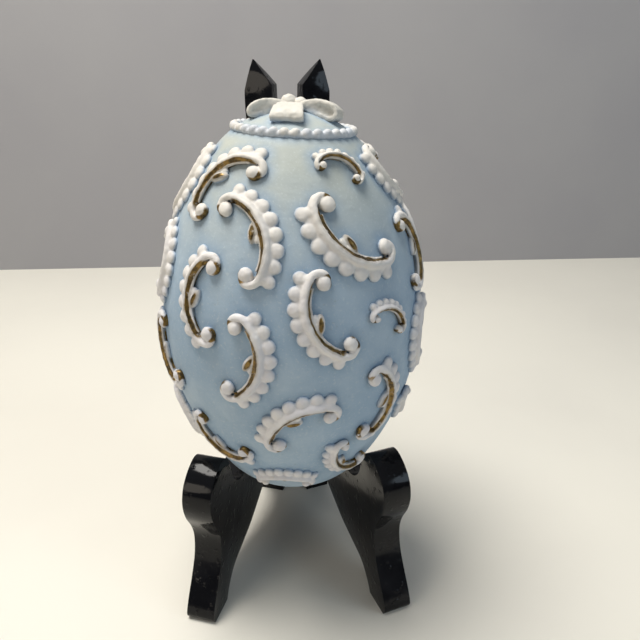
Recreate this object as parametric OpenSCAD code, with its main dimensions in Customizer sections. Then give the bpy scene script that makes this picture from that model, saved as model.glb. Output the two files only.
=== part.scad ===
// A moulded egg with applied scroll ornaments, a string of beads and a ribbon
// bow, standing in a folding two-board easel. Millimetres, +Z up, the viewer
// stands at -Y. The origin is on the table under the middle of the object.

/* [Egg] */
// Height of the egg from pole to pole, without the bow
egg_h = 106.5; // [88:0.5:132]
// Radius of the egg at its widest, without the ornaments
egg_r = 35.1; // [28:0.1:43]
// Height of the widest place above the lower pole, as a part of the egg's height
egg_wide_share = 0.502; // [0.44:0.002:0.52]
// Radius of the round lower end
egg_low_r = 26.5; // [20:0.5:27.5]
// Radius of the round upper end
egg_top_r = 25; // [18:0.1:26]
// Wall of the hollow egg
egg_wall = 3; // [2:0.5:5]
// Radius of the vent hole in the lower pole
vent_r = 1.5; // [0.8:0.1:1.9]
// Lean of the egg towards the uprights, in degrees
egg_tilt = 2; // [0:0.5:4]

/* [Ornaments] */
// How far the scrolls stand out from the egg
relief = 2.2; // [1.2:0.1:2.6]
// Length of a full scroll as a part of the widest girth
scroll_girth_share = 0.095; // [0.07:0.001:0.098]
// Longest that a full scroll may be, as a part of the egg's height
scroll_height_share = 0.195; // [0.15:0.001:0.2]
// Beads along the back of one scroll
scroll_beads = 8; // [7:1:11]
// Distance of the string of beads below the upper pole
ring_drop = 4.8; // [4:0.1:9]
// Radius of one bead of the string
ring_bead_r = 1.3; // [1:0.1:1.8]
// Beads in the string
ring_beads = 36; // [28:1:40]
// Radius of the cord that joins the beads
ring_cord_r = 0.8; // [0.5:0.1:1]
// Lean of the string of beads and the bow towards the right, in degrees
crown_tilt = 3; // [0:0.5:4]
// Length of a bow loop from the middle of the knot
loop_len = 12.5; // [9:0.5:14]
// Width of the ribbon
loop_w = 6.4; // [4:0.2:8]
// Height of a loop at its round end
loop_h = 4.6; // [3:0.1:5]
// Thickness of the ribbon
ribbon_t = 0.9; // [0.6:0.1:1.2]
// Radius of the bow's knot
knot_r = 2.9; // [2:0.1:4]

/* [Stand] */
// Height of the two boards
board_h = 152; // [120:1:185]
// Thickness of the boards
board_t = 8.5; // [6:0.1:10.5]
// Angle between the boards when the easel stands open, in degrees
board_open = 37.6; // [30:0.2:46]
// Depth of the uprights' front edge, measured from the hinge pin
upright_s = 8; // [7:0.2:12]
// Depth of the boards from the hinge pin to the toe
toe_s = 77.3; // [68:0.5:92]
// Height of the knobs that stop the egg
knob_z = 48.6; // [40:0.5:58]
// Height of the low place between upright and knob
seat_z = 34; // [24:0.5:38]
// Height of the arch between the front and rear soles
arch_z = 19; // [14:0.5:20]

/* [Hinges] */
// Radius of the hinge pins
pin_r = 0.6; // [0.5:0.05:0.75]
// Radius of the hinge knuckles
knuckle_r = 1.15; // [1.1:0.05:1.2]
// Height of one hinge
hinge_h = 14; // [10:0.5:18]
// Height of the middle of the lower hinge above the table
low_hinge_z = 24; // [18:1:34]
// Height of the middle of the upper hinge above the table
high_hinge_z = 80; // [60:1:95]
// Thickness of a hinge leaf
leaf_t = 0.7; // [0.5:0.05:0.8]
// Radius of the screws' shanks
screw_r = 0.7; // [0.5:0.05:0.9]
// Length of the screws
screw_len = 5; // [3.5:0.5:6]

/* [Hidden] */
$fn = 96;

// Clearances
rest_gap = 0.5;       // egg and ornaments to the boards
pin_gap = 0.05;       // hinge pin to its knuckles
knuckle_gap = 0.2;    // between neighbouring knuckles, and knuckle to leaf
face_gap = 0.2;       // inner face of a board to the plane through the pin
back_s = knuckle_r + 0.2;             // back edge of the boards, from the pin
hinge_y = 40.1;       // the hinge pin lies this far behind the origin

// ---- The egg's outline: four arcs, each tangent to the next ----
egg_wide = egg_h * egg_wide_share;
function side_r(reach, cap) =
  (pow(egg_r, 2) - pow(cap, 2) + pow(reach - cap, 2)) / (2 * (egg_r - cap));
low_side_r = side_r(egg_wide, egg_low_r);
top_side_r = side_r(egg_h - egg_wide, egg_top_r);
low_lean = atan2(egg_wide - egg_low_r, low_side_r - egg_r);
top_lean = atan2(egg_h - egg_wide - egg_top_r, top_side_r - egg_r);
low_joint_h = egg_low_r * (1 - sin(low_lean));
top_joint_h = egg_h - egg_top_r * (1 - sin(top_lean));
// Centre and radius of the arc at height h, as [x, z, radius]
function arc_at(h) =
  h < low_joint_h ? [0, egg_low_r, egg_low_r] :
  h < egg_wide ? [egg_r - low_side_r, egg_wide, low_side_r] :
  h < top_joint_h ? [egg_r - top_side_r, egg_wide, top_side_r] :
  [0, egg_h - egg_top_r, egg_top_r];
// Radius of the egg at height h, and the slope of its surface there
function radius_at(h) = let (a = arc_at(h)) a[0] + sqrt(pow(a[2], 2) - pow(h - a[1], 2));
function lean_at(h) = let (a = arc_at(h)) atan2(h - a[1], radius_at(h) - a[0]);
// Height above the lower pole at which the lower half, grown by g, is d wide
function low_height(d, g) =
  let (cap_h = egg_low_r - sqrt(max(0, pow(egg_low_r + g, 2) - d * d)),
       x = min(d, egg_r + g) - egg_r + low_side_r)
  d < (egg_low_r + g) * cos(low_lean) ? cap_h
    : egg_wide - sqrt(max(0, pow(low_side_r + g, 2) - x * x));

// ---- Where the egg rests ----
half_open = board_open / 2;
knob_s = toe_s - 16.3;                // inner edge of the knob
touch_r = egg_r + relief + rest_gap;  // the ornaments touch the uprights
egg_back = upright_s * cos(half_open) + sqrt(pow(touch_r, 2) - pow(upright_s * sin(half_open), 2));
egg_y = hinge_y - egg_back;
knob_d = norm([knob_s * sin(half_open), knob_s * cos(half_open) - egg_back]);
knob_edge_z = knob_z - 1.3;           // height of the knob's inner edge
seat_d = egg_back * sin(half_open);   // from the egg's axis to the inner faces
on_knobs = knob_edge_z - low_height(knob_d, rest_gap);
on_seat = seat_z - low_height(seat_d, relief + rest_gap);
egg_z = max(on_knobs, on_seat);       // height of the lower pole above the table

// ---- Uprights ----
// Furthest forward that an upright's inner edge may come at height z
function clear_s(z) =
  let (h = max(0, min(egg_h, z - egg_z)),
       back = egg_back - (h - egg_wide) * sin(egg_tilt),
       need = radius_at(h) + relief + rest_gap,
       side = back * sin(half_open))
  need > side ? back * cos(half_open) - sqrt(need * need - side * side) : toe_s;
// Each row: share of the way up to the point, front edge from the pin, depth
horn_z = seat_z + 52;                 // the uprights curve forwards from here up
horn = [[1, 11.5, 0], [0.925, 13.1, 3.9], [0.79, 13.5, 5.5], [0.515, 11, 7.2],
  [0.24, 8.6, 7.2], [0.1, 8.1, 7]];
function row_z(row) = horn_z + row[0] * (board_h - horn_z);
function front_s(row) = min(row[1], clear_s(row_z(row)));

// ---- Scroll ornaments ----
full_scroll = min(scroll_girth_share * 2 * PI * egg_r, scroll_height_share * egg_h);
// Each row: angle round the egg from the front, height in hundredths of the
// egg's height, way that the hollow side faces (0 right, 90 up), size
shoulder = [
  [-84, 84, 165, 0.92], [-42, 86, -45, 0.97], [31, 89, -118, 0.55], [75, 85, 40, 0.85],
  [112, 84, 195, 0.85], [152, 88, -70, 0.6], [194, 84, 20, 0.9], [236, 86, -105, 0.85]];
upper = [
  [-74, 66.5, 185, 0.88], [-20, 76, -155, 1], [26, 75, 50, 1.1], [66, 69, 185, 0.9],
  [97, 68, 0, 0.9], [136, 72, -60, 0.9], [168, 70, 150, 0.95], [205, 65, 40, 0.9],
  [238, 68, 190, 0.9], [262, 72, 60, 0.55]];
middle = [
  [-68, 45, 25, 0.9], [-40, 62, 0, 0.98], [-20, 49.5, 170, 1], [11, 59, 22, 1],
  [40, 57, -120, 0.55], [67, 48, 0, 0.9], [99, 46, 170, 0.95], [127, 50.5, 15, 0.95],
  [158, 48.5, 200, 0.95], [188, 45.5, -30, 0.9], [222, 46.5, 150, 0.95], [256, 46.5, 10, 0.9]];
lower = [
  [-72, 26.5, 200, 0.7], [-41, 24.5, 52, 0.85], [0, 33.5, -55, 0.95], [38, 35.5, 180, 1],
  [27, 19.5, 40, 0.75], [72, 27.5, 60, 0.75], [104, 27.5, -40, 0.85], [140, 29.5, 120, 0.9],
  [184, 24.5, 60, 0.9], [228, 26.5, -60, 0.9]];
base = [[-8, 13, -90, 0.7], [128, 12, -80, 0.7], [232, 11, -90, 0.7]];
tiers = [["shoulder", shoulder], ["upper", upper], ["middle", middle],
         ["lower", lower], ["base", base]];
function scroll_name(tier, i) = str(tier[0], "_scroll_", i + 1);
SCROLL_NODES = [for (tier = tiers) for (i = [0 : len(tier[1]) - 1]) scroll_name(tier, i)];

// Bow loops: name and angle round the pole
loops = [["bow_loop_front", -5], ["bow_loop_left", -93], ["bow_loop_right", 83],
         ["bow_loop_back", 172]];
loop_droop = 15;      // the loops hang down this many degrees
loop_sector = 42;     // a loop keeps to this many degrees each side of its middle

// Hinges: name and height of the middle
hinges = [["lower_hinge", low_hinge_z], ["upper_hinge", high_hinge_z]];
screw_rise = hinge_h / 4;             // screws above and below a hinge's middle
leaf_w = board_t - 0.9;               // far edge of a leaf
head_r = screw_r + 0.5;               // screw heads

// ---- Smooth curve through a list of points, n steps to each stretch ----
function pick(p, i) = p[max(0, min(len(p) - 1, i))];
function curve_point(p, i, t) =
  let (a = pick(p, i - 1), b = pick(p, i), c = pick(p, i + 1), d = pick(p, i + 2))
  0.5 * (2 * b + (c - a) * t + (2 * a - 5 * b + 4 * c - d) * t * t
    + (3 * b - a - 3 * c + d) * t * t * t);
function curve(p, n = 5) =
  concat([for (i = [0 : len(p) - 2]) for (k = [0 : n - 1]) curve_point(p, i, k / n)],
    [p[len(p) - 1]]);

// ---- Places ----
module on_egg() {
  translate([0, egg_y, egg_z + egg_wide])
    rotate([-egg_tilt, 0, 0])
      translate([0, 0, -egg_wide])
        children();
}
// On the egg, but turned about the middle of its round top
module on_crown() {
  translate([0, 0, egg_h - egg_top_r])
    rotate([0, crown_tilt, 0])
      translate([0, 0, egg_top_r - egg_h])
        children();
}
// On the egg's surface at an angle and a height: x right, y up, z outwards
module on_surface(angle, h) {
  rotate([0, 0, angle - 90])
    translate([radius_at(h), 0, h])
      rotate([0, -lean_at(h), 0])
        rotate([90, 0, 90])
          children();
}
// On the right board: x from the pin to the toe, y outwards, z up
module on_right() {
  translate([0, hinge_y, 0])
    rotate([0, 0, half_open - 90])
      children();
}
module on_side(side) {
  if (side < 0) mirror([1, 0, 0]) on_right() children();
  else on_right() children();
}

// ---- Egg ----
module side_arc(r, lean, grow, way) {
  far = 2 * egg_h;
  translate([egg_r - r, egg_wide])
    intersection() {
      circle(r = r + grow);
      polygon([[0, 0], [far, 0], [far * cos(lean), way * far * sin(lean)]]);
    }
}
module egg_outline(grow) {
  far = 2 * egg_h;
  intersection() {
    translate([0, -far]) square([far, 3 * far]);
    union() {
      translate([0, egg_low_r]) circle(r = egg_low_r + grow);
      translate([0, egg_h - egg_top_r]) circle(r = egg_top_r + grow);
      side_arc(low_side_r, low_lean, grow, -1);
      side_arc(top_side_r, top_lean, grow, 1);
    }
  }
}
module egg_solid(grow = 0) {
  rotate_extrude() egg_outline(grow);
}
module egg_shell() {
  color([0.63, 0.76, 0.83])
    on_egg()
      difference() {
        egg_solid();
        egg_solid(-egg_wall);
        translate([0, 0, -1]) cylinder(r = vent_r, h = egg_wall + 2);
      }
}

// ---- String of beads round the top ----
module bead_ring() {
  h = egg_h - ring_drop;
  r = radius_at(h);
  color([0.86, 0.85, 0.86])
    on_egg()
      difference() {
        on_crown() {
          translate([0, 0, h]) rotate_extrude() translate([r + ring_cord_r / 2, 0]) circle(r = ring_cord_r);
          for (i = [0 : ring_beads - 1])
            rotate([0, 0, i * 360 / ring_beads])
              translate([r + ring_bead_r / 3, 0, h])
                sphere(r = ring_bead_r);
        }
        egg_solid();
      }
}

// ---- Bow ----
module loop_outline(grow) {
  end_r = loop_h / 2 + grow;
  end_x = loop_len - loop_h / 2;
  start_x = -3 * grow;
  reach = end_x - start_x;
  touch = acos(min(1, end_r / reach));
  translate([end_x, 0]) circle(r = end_r);
  polygon([[start_x, 0],
    [end_x - end_r * cos(touch), end_r * sin(touch)],
    [end_x - end_r * cos(touch), -end_r * sin(touch)]]);
}
// Everything between two directions from the egg's axis
module sector(angle, half) {
  far = 2 * loop_len;
  rotate([0, 0, angle - 90])
    linear_extrude(2 * egg_h)
      polygon([[0, 0], [far * cos(half), -far * sin(half)], [far * cos(half), far * sin(half)]]);
}
module bow_loop(angle) {
  color([0.88, 0.87, 0.86])
    on_egg()
      difference() {
        on_crown()
          difference() {
            intersection() {
              translate([0, 0, egg_h + 0.6])
                rotate([0, 0, angle - 90])
                  rotate([0, loop_droop, 0])
                    rotate([90, 0, 0])
                      translate([0, 0, -loop_w / 2])
                        linear_extrude(loop_w)
                          difference() {
                            loop_outline(0);
                            loop_outline(-ribbon_t);
                          }
              sector(angle, loop_sector);
            }
            translate([0, 0, egg_h]) sphere(r = knot_r);
          }
        egg_solid();
      }
}
module bow_knot() {
  color([0.88, 0.86, 0.82])
    on_egg()
      difference() {
        on_crown() translate([0, 0, egg_h]) sphere(r = knot_r);
        egg_solid();
      }
}

// ---- Scrolls: drawn 21 long with the hollow side to the right ----
module scroll_outline() {
  gold_r = 12.5;        // arc of the gilt line
  arc_x = 9.1;          // its centre
  rim = 0.8;            // inner rim beside it
  band = 2.6;           // from the gilt line to the middles of the beads
  half_sweep = 52;
  bead_sweep = 48;      // half the angle from the first bead to the last
  bead_r = 1.75;
  ball = [3.4, 8];      // middle of a rolled end
  ball_r = 2.4;
  neck = [1.4, 9.3];    // middle of the round that joins it to the band
  neck_r = 2.1;
  far = 2 * gold_r;
  translate([arc_x, 0]) {
    intersection() {
      difference() {
        circle(r = gold_r + band);
        circle(r = gold_r - rim);
      }
      polygon([[0, 0], [-far * cos(half_sweep), -far * sin(half_sweep)],
        [-far, 0], [-far * cos(half_sweep), far * sin(half_sweep)]]);
    }
    for (i = [0 : scroll_beads - 1])
      rotate(180 - bead_sweep + i * 2 * bead_sweep / (scroll_beads - 1))
        translate([gold_r + band, 0])
          circle(r = bead_r, $fn = 32);
  }
  for (end = [-1, 1]) {
    translate([ball[0], ball[1] * end]) circle(r = ball_r, $fn = 32);
    translate([neck[0], neck[1] * end]) circle(r = neck_r, $fn = 32);
  }
}
module scroll(row) {
  size = row[3] * full_scroll / 21;
  h = row[1] / 100 * egg_h;
  color([0.85, 0.84, 0.86])
    on_egg()
      intersection() {
        difference() {
          egg_solid(relief);
          egg_solid();
        }
        on_surface(row[0], h)
          rotate([0, 0, row[2]])
            translate([0, 0, -9])
              linear_extrude(14)
                scale(size)
                  scroll_outline();
      }
}

// ---- Folding easel ----
module board_outline() {
  uprights = [for (row = horn) [front_s(row), row_z(row)]];
  front = curve(concat(uprights, [
    [upright_s, horn_z], [upright_s + 1.2, seat_z + 38], [13, seat_z + 25],
    [20, seat_z + 14.5], [30, seat_z + 5.5], [knob_s - 19, seat_z + 0.6], [knob_s - 9, seat_z],
    [knob_s - 4, seat_z + 3.6], [knob_s - 2.2, knob_z - 5.6],
    [knob_s, knob_edge_z], [knob_s + 3.5, knob_z], [toe_s - 8.3, knob_z - 1.8],
    [toe_s - 4.9, knob_z - 5.2], [toe_s - 3.7, knob_z - 9.8],
    [toe_s - 4.7, knob_z - 14.8], [toe_s - 7.6, knob_z - 20.4], [toe_s - 8.7, 23.4],
    [toe_s - 7.7, 17.4], [toe_s - 4.7, 11.4], [toe_s - 1.7, 6.4], [toe_s, 2.2], [toe_s - 1, 0]]));
  arch = curve([[toe_s - 9.8, 0], [toe_s - 11.9, 3.4], [toe_s - 16.3, arch_z - 11.6],
    [toe_s - 23.3, arch_z - 9.4], [toe_s - 31, arch_z - 7.2], [toe_s - 38, arch_z - 4],
    [toe_s - 45, arch_z - 0.8], [25, arch_z], [18, arch_z - 3], [14.2, 9], [13.5, 0]]);
  back = curve([for (i = [len(horn) - 1 : -1 : 0])
    [max(back_s, front_s(horn[i]) - horn[i][2]), row_z(horn[i])]]);
  polygon(concat(front, arch, [[back_s, 0]], back));
}
// Carved point of an upright, seen from the front: these corners go
module tip_waste() {
  bevel_h = 7.2;        // the inner side starts to slope this far below the point
  taper_h = 16;         // and the outer side this far
  point_y = 6.2;        // the point, outwards from the inner face
  rotate([90, 0, 90])
    linear_extrude(toe_s)
      union() {
        polygon([[-1, board_h - bevel_h - 1], [point_y, board_h], [point_y, board_h + 1],
          [-1, board_h + 1]]);
        polygon([[board_t + 2, board_h - taper_h], [point_y + 0.4, board_h], [point_y + 0.4, board_h + 1],
          [board_t + 2, board_h + 1]]);
      }
}
module screw_places() {
  for (h = hinges)
    for (way = [-1, 1])
      translate([0, face_gap + board_t / 2, h[1] + way * screw_rise])
        rotate([0, 90, 0])
          children();
}
module screw_shape() {
  translate([0, 0, back_s - leaf_t]) cylinder(r1 = head_r, r2 = screw_r, h = head_r - screw_r);
  translate([0, 0, back_s - leaf_t]) cylinder(r = screw_r, h = screw_len);
}
module board(side) {
  color([0.03, 0.03, 0.035])
    on_side(side)
      difference() {
        translate([0, face_gap + board_t, 0])
          rotate([90, 0, 0])
            linear_extrude(board_t)
              board_outline();
        tip_waste();
        screw_places() screw_shape();
      }
}
module left_board() board(-1);
module right_board() board(1);
module screws(side) {
  color([0.78, 0.62, 0.3])
    on_side(side)
      screw_places()
        screw_shape();
}

// ---- Butt hinges: the left leaf has the two outer knuckles ----
module leaf(side, mid_z) {
  third = hinge_h / 3;
  starts = side < 0 ? [-1.5, 0.5] : [-0.5];
  trim = knuckle_gap / 2;
  color([0.8, 0.64, 0.32])
    on_side(side)
      translate([0, 0, mid_z])
        difference() {
          union() {
            translate([back_s - leaf_t, knuckle_r + knuckle_gap, -hinge_h / 2])
              cube([leaf_t, leaf_w - knuckle_r - knuckle_gap, hinge_h]);
            for (start = starts)
              translate([0, 0, start * third + (start > -1 ? trim : 0)]) {
                tall = third - (side < 0 ? trim : 2 * trim);
                cylinder(r = knuckle_r, h = tall);
                translate([back_s - leaf_t, face_gap, 0])
                  cube([leaf_t, knuckle_r + knuckle_gap + 1, tall]);
              }
          }
          translate([0, 0, -hinge_h]) cylinder(r = pin_r + pin_gap, h = 2 * hinge_h);
          translate([0, 0, -mid_z]) screw_places() screw_shape();
        }
}
module hinge_pin(mid_z) {
  head_h = 0.8;
  color([0.75, 0.6, 0.3])
    translate([0, hinge_y, mid_z - hinge_h / 2]) {
      cylinder(r = pin_r, h = hinge_h);
      translate([0, 0, hinge_h]) cylinder(r = knuckle_r, h = head_h);
      translate([0, 0, -head_h]) cylinder(r = knuckle_r, h = head_h);
    }
}

egg_shell();
bead_ring();
bow_knot();
for (l = loops)
  bow_loop(l[1]);
for (tier = tiers)
  for (i = [0 : len(tier[1]) - 1])
    scroll(tier[1][i]);
left_board();
right_board();
for (h = hinges)
  leaf(-1, h[1]);
for (h = hinges)
  leaf(1, h[1]);
for (h = hinges)
  hinge_pin(h[1]);
screws(-1);  // left_screws
screws(1);  // right_screws
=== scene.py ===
# %% [markdown]
# # A moulded egg on a folding easel
#
# The object is a cast egg, powder blue, covered with applied scroll ornaments
# that are white with a gilt line. A string of beads and a ribbon bow close
# the top. It stands in a black lacquered easel of two boards on brass hinges.
#
# The solid parts come first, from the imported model: that frame gives every
# piece its place and its size. This lesson adds what the frame lacks, which
# is the soft cast modelling, the paint and the light. Everything is in metres.

# %% Load the frame
import bpy, math
import numpy as np
from mathutils import Matrix, Vector
from mathutils.kdtree import KDTree


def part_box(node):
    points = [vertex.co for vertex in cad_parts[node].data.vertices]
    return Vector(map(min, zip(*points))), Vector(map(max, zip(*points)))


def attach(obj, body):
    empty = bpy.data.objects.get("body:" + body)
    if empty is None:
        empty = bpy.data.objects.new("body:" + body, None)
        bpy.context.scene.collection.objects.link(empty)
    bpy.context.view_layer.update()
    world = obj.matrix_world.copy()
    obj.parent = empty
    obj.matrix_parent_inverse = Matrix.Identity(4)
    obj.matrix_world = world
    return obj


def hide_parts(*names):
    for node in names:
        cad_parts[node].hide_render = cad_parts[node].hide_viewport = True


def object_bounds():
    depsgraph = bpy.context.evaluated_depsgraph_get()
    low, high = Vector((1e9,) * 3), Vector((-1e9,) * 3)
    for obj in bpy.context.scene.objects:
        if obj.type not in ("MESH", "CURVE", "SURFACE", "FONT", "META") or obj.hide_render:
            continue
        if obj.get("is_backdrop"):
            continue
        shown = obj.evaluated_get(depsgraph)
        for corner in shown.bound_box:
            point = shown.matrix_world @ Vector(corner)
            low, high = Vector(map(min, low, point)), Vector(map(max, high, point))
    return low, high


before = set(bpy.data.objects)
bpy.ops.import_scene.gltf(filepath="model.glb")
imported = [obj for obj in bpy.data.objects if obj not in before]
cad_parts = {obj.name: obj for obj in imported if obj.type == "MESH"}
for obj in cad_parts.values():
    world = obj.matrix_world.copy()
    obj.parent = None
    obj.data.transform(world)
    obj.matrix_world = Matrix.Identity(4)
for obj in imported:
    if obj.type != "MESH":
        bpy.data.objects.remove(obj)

MM = 0.001
cad_box = [list(corner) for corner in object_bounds()]

# %% [markdown]
# ## Working one piece at a time
#
# An operator acts on all that is selected, and loading the frame leaves its
# nodes selected. So each step starts by selecting one piece and nothing else.
# Finished pieces keep their object at the origin, with the place in the mesh.

# %% Selecting, editing and finishing one piece
def object_mode():
    if bpy.context.object and bpy.context.object.mode != "OBJECT":
        bpy.ops.object.mode_set(mode="OBJECT")

def only(piece):
    object_mode()
    bpy.ops.object.select_all(action="DESELECT")
    piece.select_set(True)
    bpy.context.view_layer.objects.active = piece
    return piece

def none_selected():
    object_mode()
    bpy.ops.object.select_all(action="DESELECT")

def edit(piece):
    only(piece)
    bpy.ops.object.mode_set(mode="EDIT")
    bpy.ops.mesh.select_all(action="SELECT")

def named(name):
    piece = bpy.context.object
    piece.name = piece.data.name = name
    return piece

def settle(piece):
    only(piece)
    bpy.ops.object.transform_apply(location=True, rotation=True, scale=True)
    return piece

def outwards(piece, merge=0.00001):
    edit(piece)
    bpy.ops.mesh.remove_doubles(threshold=merge)
    bpy.ops.mesh.normals_make_consistent(inside=False)
    object_mode()

def apply_modifier(piece, kind, **settings):
    only(piece)
    modifier = piece.modifiers.new(kind.title(), kind)
    for setting, value in settings.items():
        setattr(modifier, setting, value)
    bpy.ops.object.modifier_apply(modifier=modifier.name)

def join(pieces, name):
    none_selected()
    for piece in pieces:
        piece.select_set(True)
    bpy.context.view_layer.objects.active = pieces[0]
    bpy.ops.object.join()
    return named(name)

def points_of(piece):
    flat = np.empty(len(piece.data.vertices) * 3)
    piece.data.vertices.foreach_get("co", flat)
    return flat.reshape(-1, 3)

def move_points(piece, points):
    piece.data.vertices.foreach_set("co", np.ascontiguousarray(points, dtype=float).ravel())
    piece.data.update()

def smooth(piece, sharp_from=None):
    only(piece)
    if sharp_from is None:
        bpy.ops.object.shade_smooth()
    else:
        bpy.ops.object.shade_smooth_by_angle(angle=math.radians(sharp_from))

def finish_piece(piece, body, finish, node):
    piece.data.materials.clear()
    piece.data.materials.append(finish)
    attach(piece, body)
    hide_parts(node)
    return piece

none_selected()
print("helpers ready")

# %% [markdown]
# ## Camera, floor and light
#
# The egg is seen from a little above, from close by, so the uprights look
# smaller than the feet. The floor and the wall behind it are plain and pale.
# One wide soft light hangs above and a little to the left, as a window would.
# A warm one fills the shadows from the left and a cool one from the right.

# %% Camera
CAMERA_PLACE = (-0.0026, -0.1712, 0.156)
CAMERA_TILT, CAMERA_TURN = math.radians(66.69), math.radians(-3.51)
bpy.ops.object.camera_add(location=CAMERA_PLACE, rotation=(CAMERA_TILT, 0, CAMERA_TURN))
camera = named("camera")
camera.data.lens = 36
camera.data.sensor_width = 36
camera.data.clip_start = 0.005
camera.data.dof.use_dof = False
bpy.context.scene.camera = camera
print("camera at", tuple(round(v, 4) for v in camera.location))

# %% Floor and wall
STAGE_SIZE = 2.4
WALL_BEHIND = 0.3       # how far the wall stands behind the easel
bpy.ops.mesh.primitive_plane_add(size=STAGE_SIZE, location=(0, -0.75, 0))
floor = named("floor")
bpy.ops.mesh.primitive_plane_add(
    size=STAGE_SIZE, location=(0, WALL_BEHIND, 1.15), rotation=(math.radians(90), 0, 0))
wall = named("wall")
for surface in (floor, wall):
    settle(surface)
    surface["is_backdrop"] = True

# %% Light
def soft_light(name, place, target, size, power, colour):
    direction = Vector(target) - Vector(place)
    bpy.ops.object.light_add(
        type="AREA", location=place, rotation=direction.to_track_quat("-Z", "Y").to_euler())
    light = named(name)
    light.data.shape = "DISK"
    light.data.size = size
    light.data.energy = power
    light.data.color = colour
    light.data.specular_factor = 0.6
    return light

soft_light("window_light", place=(-0.14, 0.02, 0.62), target=(0, -0.02, 0.06),
           size=0.34, power=4.15, colour=(1.0, 0.965, 0.91))
soft_light("left_fill", place=(-0.42, -0.36, 0.30), target=(0, 0, 0.08),
           size=0.30, power=0.62, colour=(1.0, 0.90, 0.76))
soft_light("right_fill", place=(0.5, -0.30, 0.30), target=(0, 0, 0.08),
           size=0.30, power=0.62, colour=(0.70, 0.86, 1.0))
bpy.context.scene.view_settings.view_transform = "Standard"

# %% [markdown]
# ## Painting with expressions
#
# A material is a small calculation on each spot of the surface. `Ink` wraps
# one socket, so that `1 - mask` or `noise * 0.3` adds the Math node by itself.
# Any other node comes from `Paint.node`: its type, its settings, its sockets.

# %% A socket that can be reckoned with
class Ink:
    def __init__(self, paint, socket):
        self.paint, self.socket = paint, socket

    def math(self, operation, *others):
        return self.paint.node("ShaderNodeMath", {"operation": operation}, [self, *others])

    def __add__(self, other): return self.math("ADD", other)
    def __radd__(self, other): return self.math("ADD", other)
    def __sub__(self, other): return self.math("SUBTRACT", other)
    def __rsub__(self, other): return self.paint.number(other).math("SUBTRACT", self)
    def __mul__(self, other): return self.math("MULTIPLY", other)
    def __rmul__(self, other): return self.math("MULTIPLY", other)
    def __truediv__(self, other): return self.math("DIVIDE", other)
    def __lt__(self, other): return self.math("LESS_THAN", other)
    def __abs__(self): return self.math("ABSOLUTE")
    def most(self, other): return self.math("MAXIMUM", other)

    def ramp(self, low, high, to_low=0.0, to_high=1.0):
        return self.paint.node(
            "ShaderNodeMapRange", {"interpolation_type": "SMOOTHSTEP"},
            {"Value": self, "From Min": low, "From Max": high, "To Min": to_low, "To Max": to_high})

class Paint:
    def __init__(self, name):
        self.material = bpy.data.materials.new(name)
        self.material.use_nodes = True
        self.nodes = self.material.node_tree.nodes
        self.links = self.material.node_tree.links
        self.shader = self.nodes["Principled BSDF"]

    def feed(self, socket, value):
        if isinstance(value, Ink):
            self.links.new(value.socket, socket)
        elif isinstance(value, (tuple, list)) and len(value) == 3 and socket.type == "RGBA":
            socket.default_value = (*value, 1)
        else:
            socket.default_value = value

    def node(self, kind, settings=None, sockets=None, out=0):
        made = self.nodes.new(kind)
        for setting, value in (settings or {}).items():
            setattr(made, setting, value)
        pairs = sockets.items() if isinstance(sockets, dict) else enumerate(sockets or [])
        for key, value in pairs:
            self.feed(made.inputs[key], value)
        return Ink(self, made.outputs[out])

    def number(self, value):
        return self.node("ShaderNodeMath", {"operation": "ADD"}, [float(value), 0.0])

    def place(self):
        return self.node("ShaderNodeTexCoord", out="Object")

    def height(self):
        return self.node("ShaderNodeSeparateXYZ", {}, [self.place()], out="Z")

    def noise(self, scale, detail=3.0, roughness=0.5, where=None):
        return self.node("ShaderNodeTexNoise", {}, {
            "Vector": where or self.place(), "Scale": scale,
            "Detail": detail, "Roughness": roughness})

    def attribute(self, name):
        return self.node("ShaderNodeAttribute", {"attribute_name": name}, out="Fac")

    def mix(self, share, first, second):
        made = self.nodes.new("ShaderNodeMix")
        made.data_type = "RGBA"
        self.feed(made.inputs[0], share)
        self.feed(made.inputs[6], first)
        self.feed(made.inputs[7], second)
        return Ink(self, made.outputs[2])

    def bump(self, height, strength, distance):
        return self.node("ShaderNodeBump", {}, {
            "Height": height, "Strength": strength, "Distance": distance}, out="Normal")

    def shade(self, **sockets):
        for name, value in sockets.items():
            self.feed(self.shader.inputs[name.replace("_", " ")], value)
        return self.material

print("paint box ready")

# %% [markdown]
# ## A room that is light above and dim below
#
# Lacquer shows what surrounds it. An evenly bright room would turn the black
# boards grey, so the room is bright overhead and dim at the sides.

# %% Room
class Room(Paint):
    def __init__(self, name):
        self.world = bpy.data.worlds.new(name)
        self.world.use_nodes = True
        self.nodes, self.links = self.world.node_tree.nodes, self.world.node_tree.links

def room_glow(strength):
    room = Room("soft_room")
    way = room.node("ShaderNodeTexCoord", out="Generated")
    up = room.node("ShaderNodeSeparateXYZ", {}, [way], out="Z")
    glow = room.mix(up.ramp(0.0, 0.9), (0.22, 0.25, 0.30), (0.90, 0.94, 1.0))
    background = room.nodes["Background"]
    room.feed(background.inputs["Color"], glow)
    room.feed(background.inputs["Strength"], strength)
    return room.world

bpy.context.scene.world = room_glow(0.27)
print("room lit from above:", bpy.context.scene.world.name)

# %% [markdown]
# ## Pale floor and wall
#
# Both are matt. The floor is nearly white and the wall a plain grey, and both
# carry a faint mottling, so that the soft shadows have something to lie on.

# %% Floor and wall paint
def plain_surface(name, light, dark):
    paint = Paint(name)
    mottle = paint.noise(9.0, 4.0).ramp(0.35, 0.7)
    return paint.shade(Base_Color=paint.mix(mottle, light, dark), Roughness=0.62)

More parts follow.
